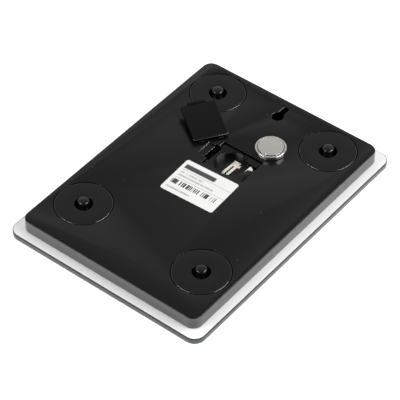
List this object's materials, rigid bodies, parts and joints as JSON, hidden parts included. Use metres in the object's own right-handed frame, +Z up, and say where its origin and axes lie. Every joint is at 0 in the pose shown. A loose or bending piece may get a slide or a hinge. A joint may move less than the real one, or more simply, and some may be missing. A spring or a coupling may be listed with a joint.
{
  "type": "digital kitchen scale",
  "caption": "Slim digital scale with a glass platform, lying face down: black housing, round feet, open coin-cell compartment, with its door and cell laid beside it.",
  "frame": {"origin": "centre of the glass weighing face, which rests on the table because the scale lies upside down", "axes": "+Z up out of the black underside, +Y along the long side towards the hanging keyhole, +X along the short side; the display end is at -Y"},
  "size_m": [0.148, 0.198, 0.0187],
  "materials": {
    "black_plastic": "fine satin grain",
    "glass": "clear toughened glass, silver printed on its back",
    "tape": "foam tape",
    "rubber": "smooth",
    "steel": "plated sheet",
    "zinc": "zinc plated",
    "white_plastic": "natural moulding",
    "cell_steel": "nickel plated, satin",
    "gasket": "moulded seal",
    "contact": "nickel plated spring strip",
    "paper": "coated paper label, blank",
    "board": "solder mask",
    "potting": "epoxy",
    "display": "display glass",
    "silicone": "striped silicone",
    "lead_white": "insulation",
    "lead_red": "insulation",
    "lead_black": "insulation"
  },
  "bodies": {
    "scale_body": {"base_housing": "black_plastic", "battery_lead_negative": "lead_black", "battery_lead_positive": "lead_red", "board_screw_left": "zinc", "board_screw_right": "zinc", "bonding_tape_display_left": "tape", "bonding_tape_display_right": "tape", "bonding_tape_keyhole_end": "tape", "bonding_tape_left": "tape", "bonding_tape_right": "tape", "carrier_screw_display_left_a": "zinc", "carrier_screw_display_left_b": "zinc", "carrier_screw_display_right_a": "zinc", "carrier_screw_display_right_b": "zinc", "carrier_screw_keyhole_left_a": "zinc", "carrier_screw_keyhole_left_b": "zinc", "carrier_screw_keyhole_right_a": "zinc", "carrier_screw_keyhole_right_b": "zinc", "chip_potting": "potting", "circuit_board": "board", "clock_crystal": "zinc", "display_connector_inner": "silicone", "display_connector_outer": "silicone", "display_frame": "white_plastic", "display_glass": "display", "glass_platform": "glass", "key_spring_left": "steel", "key_spring_right": "steel", "load_cell_carrier_display_left": "white_plastic", "load_cell_carrier_display_right": "white_plastic", "load_cell_carrier_keyhole_left": "white_plastic", "load_cell_carrier_keyhole_right": "white_plastic", "load_cell_display_left": "steel", "load_cell_display_right": "steel", "load_cell_keyhole_left": "steel", "load_cell_keyhole_right": "steel", "load_cell_lead_display_left": "lead_white", "load_cell_lead_display_right": "lead_white", "load_cell_lead_keyhole_left": "lead_white", "load_cell_lead_keyhole_right": "lead_white", "negative_contact": "contact", "positive_contact": "contact", "rating_label": "paper"},
    "battery_door": {"battery_door": "black_plastic"},
    "coin_cell": {"cell_can": "cell_steel", "cell_cap": "cell_steel", "cell_gasket": "gasket"},
    "foot_display_left": {"foot_disc_display_left": "black_plastic", "rubber_foot_display_left": "rubber"},
    "foot_display_right": {"foot_disc_display_right": "black_plastic", "rubber_foot_display_right": "rubber"},
    "foot_keyhole_left": {"foot_disc_keyhole_left": "black_plastic", "rubber_foot_keyhole_left": "rubber"},
    "foot_keyhole_right": {"foot_disc_keyhole_right": "black_plastic", "rubber_foot_keyhole_right": "rubber"}
  },
  "joints": [
    {"name": "foot_press_display_left", "type": "slide", "parent": "scale_body", "child": "foot_display_left", "axis": [0, 0, -1], "range_m": [0, 0.00025], "stiffness_N_per_m": 10000},
    {"name": "foot_press_display_right", "type": "slide", "parent": "scale_body", "child": "foot_display_right", "axis": [0, 0, -1], "range_m": [0, 0.00025], "stiffness_N_per_m": 10000},
    {"name": "foot_press_keyhole_left", "type": "slide", "parent": "scale_body", "child": "foot_keyhole_left", "axis": [0, 0, -1], "range_m": [0, 0.00025], "stiffness_N_per_m": 10000},
    {"name": "foot_press_keyhole_right", "type": "slide", "parent": "scale_body", "child": "foot_keyhole_right", "axis": [0, 0, -1], "range_m": [0, 0.00025], "stiffness_N_per_m": 10000},
    {"name": "door_lift", "type": "slide", "parent": "scale_body", "child": "battery_door", "axis": [0, 0, 1], "range_m": [0, 0.03]},
    {"name": "cell_turn_over", "type": "hinge", "parent": "scale_body", "child": "coin_cell", "pos_m": [0.00855, 0.0375, 0.01275], "axis": [0.868, -0.4965, 0], "range_deg": [0, 180]}
  ]
}
